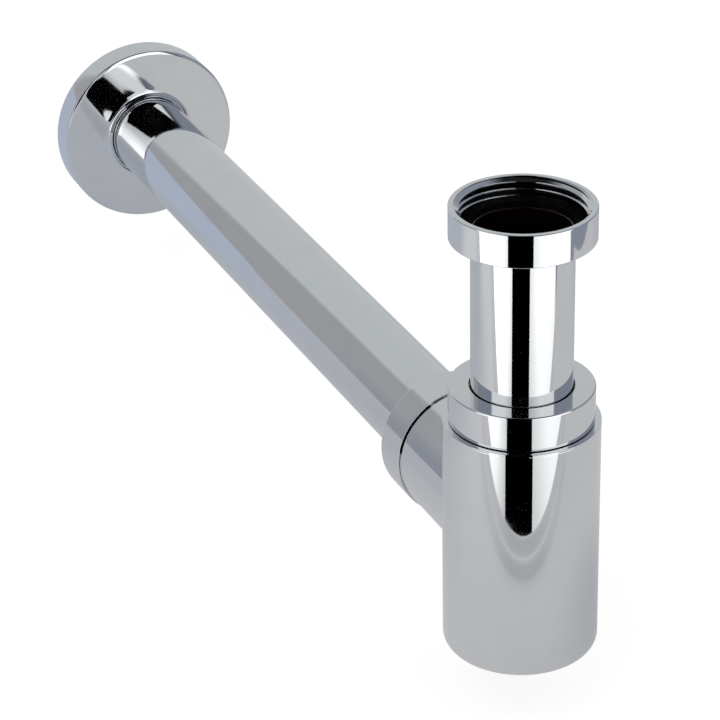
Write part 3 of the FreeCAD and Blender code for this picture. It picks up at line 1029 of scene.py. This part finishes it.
@dataclass(frozen=True)
class Table:
    """The grey table top that the chrome reflects. It glows: its grey and all its shades are painted light
    and shade. Its front edge lies square to the camera.

    Places are in metres from the bottle's line: x to the right, y to the wall.
    A span is where a shade fades in.
    """

    front: float = 0.1128
    back: float = 0.52
    left: float = 0.60
    right: float = 0.322
    slant_start: float = 0.12
    slant_depth: float = 0.045
    base: Colour = grey(0.570, 0.572, 0.578)
    # Painted light: the table is lighter towards the left.
    light: Colour = grey(0.67, 0.675, 0.69)
    painted_light_left: Span = (0.02, 0.26)
    # Painted shade: the table darker towards the back, except on two painted lit patches, one at the right
    # and one at the left.
    rear_shade: Colour = grey(0.45, 0.468, 0.51)
    rear_share: float = 0.85
    rear_depth: Span = (0.0, 0.2)
    lit_right: Span = (0.03, 0.07)
    lit_right_end: Span = (0.12, 0.17)
    lit_left: Span = (0.17, 0.27)
    lit_left_end: Span = (0.15, 0.25)
    blue: Colour = grey(0.46, 0.51, 0.62)
    blue_depth: Span = (0.22, 0.36)
    blue_start: Span = (-0.18, -0.09)
    blue_end: Span = (-0.06, 0.0)
    # The colour of the painted shadows under the bottle's foot and under the rosette.
    shade: Colour = grey(0.41, 0.425, 0.455)
    painted_shadows: tuple[PaintedShadow, ...] = (
        PaintedShadow(0.045, -0.005, reach=0.075, share=0.75),
        PaintedShadow(-0.01, 0.35, reach=0.09, share=0.6),
    )
    # Painted bands of light and shade along the front edge: place in mm from the edge, and brightness.
    bands: tuple[Span, ...] = (
        (0.0, 0.56), (1.3, 0.56), (2.4, 0.464), (8.0, 0.458), (12.5, 0.477), (14.8, 0.585), (15.6, 0.585),
        (16.6, 0.52), (19.9, 0.455), (26.9, 0.437), (29.3, 0.50), (32.0, 0.54), (42.0, 0.56))
    bands_red: float = 0.985
    bands_blue: float = 1.04
    bands_fade: Span = (0.030, 0.042)
    bands_side: Span = (0.02, 0.08)
    bands_side_dim: float = 0.65

    def material(self, forward: Vector, across: Vector) -> bpy.types.Material:
        """Makes its glowing colour: grey, with its painted light and shade, and the front edge's painted
        bands of light and shade on top.

        Args:
            forward: The level direction away from the camera.
            across: The level direction to the camera's right.

        Returns:
            The material.
        """
        made, shader = new_material("table")
        x, y, _ = shader.split(shader.place())
        # Painted light: lighter towards the left.
        colour = shader.mix(shader.rise(-x, *self.painted_light_left), self.base, self.light)
        # Painted shade towards the back, left out on two painted lit patches at the right and the left.
        lit_right = shader.rise(x, *self.lit_right) * (1.0 - shader.rise(x, *self.lit_right_end))
        lit_left = shader.rise(-x, *self.lit_left) * (1.0 - shader.rise(y, *self.lit_left_end))
        rear_shade = shader.rise(y, *self.rear_depth) * (1.0 - lit_left) * (1.0 - lit_right)
        colour = shader.mix(rear_shade * self.rear_share, colour, self.rear_shade)
        blue = shader.rise(x, *self.blue_start) * (1.0 - shader.rise(x, *self.blue_end))
        colour = shader.mix(shader.rise(y, *self.blue_depth) * blue, colour, self.blue)
        # Painted shadows under the bottle's foot and under the rosette.
        for painted_shadow in self.painted_shadows:
            colour = shader.mix(painted_shadow.mask(shader, x, y), colour, self.shade)
        # Painted bands of light and shade along the front edge, dimmer to the sides.
        inward = x * forward.x + y * forward.y + self.front
        sideways = abs(x * across.x + y * across.y)
        reach = self.bands[-1][0]
        stops = [(place / reach, grey(bright * self.bands_red, bright, bright * self.bands_blue))
                 for place, bright in self.bands]
        bands = shader.node("ShaderNodeValToRGB", {"stops": stops}, {0: inward / (reach * MM)})
        shown = 1.0 - shader.rise(inward, *self.bands_fade)
        shown = shown * (1.0 - shader.rise(sideways, *self.bands_side) * self.bands_side_dim)
        # The table glows: all of its colour is painted light.
        shader.end("ShaderNodeOutputMaterial", shader.glow(shader.mix(shown, colour, bands)))
        return made

    def outline(self, level: Vector, forward: Vector, across: Vector) -> list[Vector]:
        """Draws its outline, whose right front corner is cut.

        Args:
            level: The place on the table under the bottle.
            forward: The level direction away from the camera.
            across: The level direction to the camera's right.

        Returns:
            Its corners, in order.
        """
        front, back = level - forward * self.front, level + forward * self.back
        left, right = across * self.left, across * self.right
        corner = front + right + forward * self.slant_depth
        return [front - left, front + across * self.slant_start, corner, back + right, back - left]


@dataclass(frozen=True)
class BlueCard:
    """The small bluish card upright behind the rosette, to its left, with a slanting top."""

    left: float = -0.178
    right: float = -0.045
    back: float = 0.44
    top_left: float = -0.102
    top_right: float = -0.045

    def corners(self, low: float) -> list[Vector]:
        """Its corners, in order, from a lower edge at a given height."""
        return [Vector((self.left, self.back, low)), Vector((self.right, self.back, low)),
                Vector((self.right, self.back, self.top_right)),
                Vector((self.left, self.back, self.top_left))]


@dataclass(frozen=True)
class Lamp:
    """A large soft lamp, which the chrome doesn't show."""

    name: str
    place: tuple[float, float, float]
    power: float
    size: float = 0.9
    target: tuple[float, float, float] = (0.0, 0.1, -0.1)

    def build(self) -> None:
        """Builds the lamp and aims it at the trap."""
        data = bpy.data.lights.new(self.name, "AREA")
        data.shape = "SQUARE"
        data.size = self.size
        data.energy = self.power
        lamp = bpy.data.objects.new(self.name, data)
        bpy.context.collection.objects.link(lamp)
        lamp.location = self.place
        lamp.rotation_euler = (Vector(self.target) - Vector(self.place)).to_track_quat("-Z", "Y").to_euler()
        lamp.visible_glossy = False


@dataclass
class Studio:
    """Floor, reflected table, surroundings, lamps and camera."""

    underside: float
    travel_below: float = 21.6 * MM
    floor_reach: float = 6.0
    floor_colour: Colour = grey(0.92)
    floor_glow: float = 1.06
    floor_share: float = 0.75
    table: Table = Table()
    blue_card: BlueCard = BlueCard()
    camera_place: Vector = field(default_factory=lambda: Vector((-364.808, -715.076, 373.988)) * MM)
    camera_yaw: float = math.radians(-23.466)
    camera_pitch: float = math.radians(-27.643)
    camera_roll: float = math.radians(-1.204)
    camera_lens: float = 146.88
    camera_sensor: float = 36.0
    camera_clip: Span = (0.05, 20.0)
    unseen: Colour = grey(0.9)
    room: Colour = grey(0.375, 0.38, 0.397)
    ceiling: Colour = grey(0.015)
    ceiling_span: Span = (56.0, 74.0)
    walls: tuple[Wall, ...] = (
        Wall(grey(0.55, 0.575, 0.585), 132.0, 300.0, high=62.0),
        Wall(grey(0.55, 0.575, 0.585), -300.0, -149.5, high=62.0, lean=-0.42),
        Wall(grey(0.265, 0.288, 0.342), -143.0, -60.0, soft=3.0),
        Wall(grey(0.265, 0.288, 0.342), 20.0, 126.0, soft=6.0),
        Wall(grey(0.0), -64.0, 27.0, soft=3.0),
    )
    panels: tuple[Panel, ...] = (
        Panel("left_panel", (-0.325, -0.282), (-0.417, 0.051), inner_dim=0.66, inner_reach=0.15,
              high=0.45, lowest_stop=-0.392, highest_stop=0.058,
              levels=((0.0, 0.50), (0.153, 0.56), (0.233, 0.75), (0.342, 0.94), (0.45, 1.0), (0.64, 1.0),
                      (1.0, 0.60))),
        Panel("right_panel", (-0.047, -0.232), (0.283, -0.249)),
    )
    lamps: tuple[Lamp, ...] = (
        Lamp("key", (-0.9, -0.5, 1.3), power=7.0),
        Lamp("fill", (0.9, -0.7, 0.9), power=3.0),
    )

    def build(self) -> None:
        """Builds all of it."""
        self._floor()
        self._blue_card()
        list(self._table())
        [panel.build() for panel in self.panels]
        self._surroundings()
        for lamp in self.lamps:
            lamp.build()
        self._camera()

    def _floor(self) -> bpy.types.Object:
        """Builds the plain white floor, low enough for the bottle's travel. It keeps a soft shadow.

        Returns:
            The floor.
        """
        made, shader = new_material("floor")
        seen = shader.node("ShaderNodeLightPath", output="Is Camera Ray")
        matt = shader.node("ShaderNodeBsdfDiffuse", inputs={"Color": self.floor_colour})
        white = shader.glow(grey(1.0), self.floor_glow)
        shader.end("ShaderNodeOutputMaterial", shader.node(
            "ShaderNodeMixShader", inputs={0: seen * self.floor_share, 1: matt, 2: white}))
        level, reach = self.underside - self.travel_below, self.floor_reach
        corners = [Vector((-reach, -reach, level)), Vector((reach, -reach, level)),
                   Vector((reach, reach, level)), Vector((-reach, reach, level))]
        floor = glossy_sheet("floor", corners, made)
        for ray in ("camera", "diffuse", "shadow", "transmission"):
            setattr(floor, f"visible_{ray}", True)
        floor.visible_glossy = False
        return floor

    def _table(self) -> list[bpy.types.Object]:
        """Builds the reflected table, and one hidden below it for the lowered bottle.

        Returns:
            Both.
        """
        forward = Vector((-math.sin(self.camera_yaw), math.cos(self.camera_yaw), 0.0))
        across = Vector((forward.y, -forward.x, 0.0))
        made = self.table.material(forward, across)
        outline = self.table.outline(Vector((0.0, 0.0, self.underside)), forward, across)
        below = Vector((0.0, 0.0, -self.travel_below))
        return [glossy_sheet("table", outline, made),
                glossy_sheet("table_below", [place + below for place in outline], made)]

    def _blue_card(self) -> bpy.types.Object:
        """Builds the bluish card, which glows as painted light in the blue of the table's back part.

        Returns:
            The card.
        """
        made, shader = new_material("blue_card")
        shader.end("ShaderNodeOutputMaterial", shader.glow(self.table.blue))
        return glossy_sheet("blue_card", self.blue_card.corners(self.underside), made)

    def _surroundings(self) -> None:
        """White to the camera, pale to matt surfaces, and the room's walls to the chrome."""
        world = bpy.data.worlds.new("studio")
        bpy.context.scene.world = world
        world.use_nodes = True
        shader = Shader(world.node_tree)
        x, y, z = shader.split(shader.node("ShaderNodeTexCoord", output="Generated"))
        degrees = math.degrees(1.0)
        azimuth = shader.node("ShaderNodeMath", {"operation": "ARCTAN2"}, {0: x, 1: -y}) * degrees
        elevation = shader.node("ShaderNodeMath", {"operation": "ARCSINE"}, {0: z}) * degrees
        shown: Any = self.room
        for wall in self.walls:
            shown = shader.mix(wall.mask(shader, azimuth, elevation), shown, wall.colour)
        shown = shader.mix(shader.rise(elevation, *self.ceiling_span), shown, self.ceiling)
        camera = shader.node("ShaderNodeLightPath", output="Is Camera Ray")
        glossy = shader.node("ShaderNodeLightPath", output="Is Glossy Ray")
        white, pale, studio = (shader.node("ShaderNodeBackground", inputs={"Color": colour})
                               for colour in (grey(1.0), self.unseen, shown))
        unseen = shader.node("ShaderNodeMixShader", inputs={0: glossy, 1: pale, 2: studio})
        shader.end("ShaderNodeOutputWorld",
                   shader.node("ShaderNodeMixShader", inputs={0: camera, 1: unseen, 2: white}))

    def _camera(self) -> None:
        """The camera at the photograph's place, with its lens and its slight roll."""
        yaw, pitch, roll = self.camera_yaw, self.camera_pitch, self.camera_roll
        forward = Vector((-math.sin(yaw) * math.cos(pitch), math.cos(yaw) * math.cos(pitch), math.sin(pitch)))
        level = Vector((math.cos(yaw), math.sin(yaw), 0.0))
        upright = level.cross(forward)
        right = level * math.cos(roll) + upright * math.sin(roll)
        up = upright * math.cos(roll) - level * math.sin(roll)
        data = bpy.data.cameras.new("camera")
        data.lens = self.camera_lens
        data.sensor_width = self.camera_sensor
        data.clip_start, data.clip_end = self.camera_clip
        camera = bpy.data.objects.new("camera", data)
        bpy.context.collection.objects.link(camera)
        camera.matrix_world = Matrix.LocRotScale(
            self.camera_place, Matrix((right, up, -forward)).transposed(), None)
        bpy.context.scene.camera = camera


def main() -> None:
    """Builds the trap's pieces, then the studio."""
    bpy.context.scene.view_settings.view_transform = "Standard"
    low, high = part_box("outlet_pipe")
    axis = (low.z + high.z) / 2
    chrome = PolishedChrome().material()
    inlet = PolishedChrome("plated_inlet_tube", bore=Bore(Line.INLET)).material()
    pipe = PolishedChrome("plated_outlet_pipe", bore=Bore(Line.OUTLET, axis_height=axis)).material()
    rubber = BlackRubber().material()
    nylon = WhiteNylon().material()
    Union().build(chrome, inlet, rubber)
    CompressionNut("top_nut_plain", "top_nut", "top_nut", radius=23.0 * MM, start=-66.4 * MM,
                   end=-54.9 * MM, hole=16.45 * MM).build(chrome)
    CompressionNut("outlet_nut_plain", "outlet_nut", "outlet_nut", radius=22.75 * MM, start=43.7 * MM,
                   end=57.1 * MM, hole=16.4 * MM).build(chrome, axis)
    Shoulder().build(chrome)
    WasteArm(axis).build(chrome, pipe)
    for node in ("bottle_body", "cleanout_plug"):
        dress(node, chrome)
    for node in ("top_seal", "outlet_seal", "rosette_ring", "cleanout_oring"):
        dress(node, rubber)
    for node in ("top_slip_ring", "outlet_slip_ring"):
        dress(node, nylon)
    Studio(underside=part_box("bottle_body")[0].z).build()


if __name__ == "__main__":
    main()
